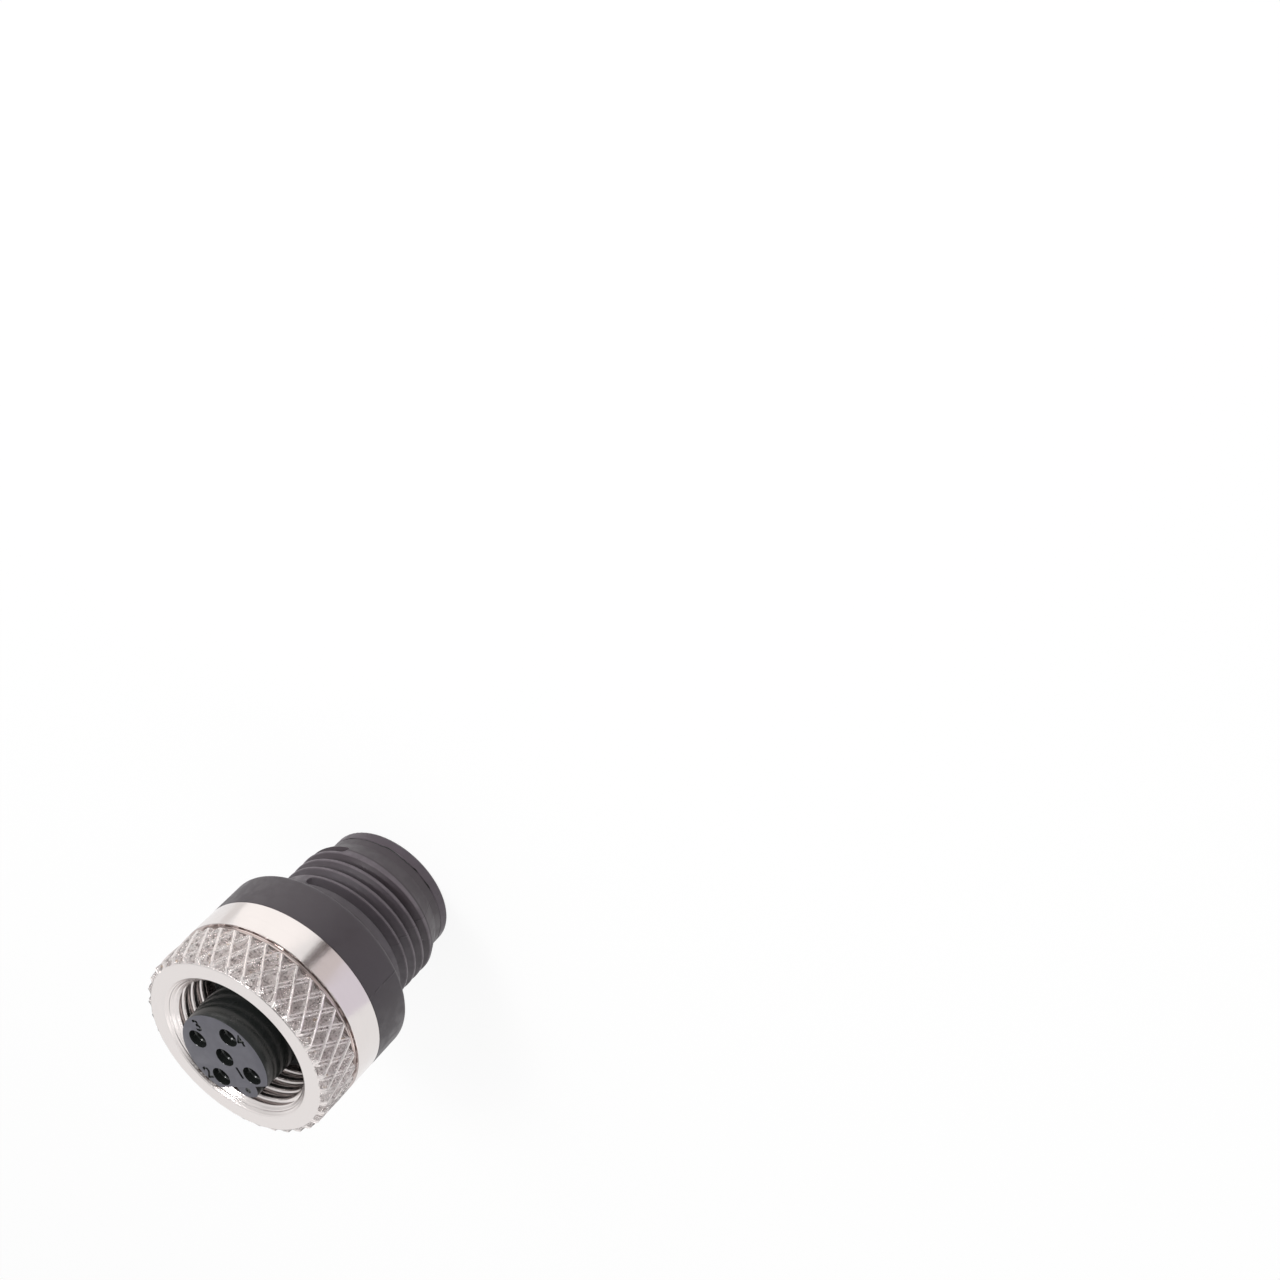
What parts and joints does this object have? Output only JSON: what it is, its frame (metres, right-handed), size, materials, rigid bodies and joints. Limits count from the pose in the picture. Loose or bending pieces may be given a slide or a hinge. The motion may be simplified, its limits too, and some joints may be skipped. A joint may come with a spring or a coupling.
{
  "type": "round screw-lock connector adapter",
  "caption": "Round sensor connector adapter: keyed socket with a knurled coupling nut on one end, threaded plug on the other.",
  "frame": {"origin": "centre of the plug rim that it stands on", "axes": "+Z along the connector's axis, from the plug rim to the socket face; contact 1 lies on -X, contact 2 on +Y, contact 3 on +X, contact 4 on -Y"},
  "size_m": [0.0159, 0.0158, 0.02],
  "materials": {
    "housing_plastic": "satin black moulding with a fine grain",
    "insert_plastic": "satin dark grey moulding",
    "nickel_plate": "satin nickel plate on turned and knurled brass",
    "gold_plate": "gold plate on turned brass",
    "spring_steel": "bright drawn stainless tube",
    "seal_rubber": "matt black elastomer"
  },
  "bodies": {
    "body": {"housing": "housing_plastic", "socket_insert": "insert_plastic", "plug_insert": "housing_plastic", "face_seal": "seal_rubber", "inner_seal": "seal_rubber", "contact_pin_1": "gold_plate", "contact_pin_2": "gold_plate", "contact_pin_3": "gold_plate", "contact_pin_4": "gold_plate", "contact_pin_5": "gold_plate", "socket_contact_1": "gold_plate", "socket_contact_2": "gold_plate", "socket_contact_3": "gold_plate", "socket_contact_4": "gold_plate", "socket_contact_5": "gold_plate", "contact_sleeve_1": "spring_steel", "contact_sleeve_2": "spring_steel", "contact_sleeve_3": "spring_steel", "contact_sleeve_4": "spring_steel", "contact_sleeve_5": "spring_steel"},
    "nut": {"coupling_nut": "nickel_plate"}
  },
  "joints": [
    {"name": "nut_spin", "type": "hinge", "parent": "body", "child": "nut", "pos_m": [0, 0, 0.0158], "axis": [0, 0, 1], "continuous": true}
  ]
}
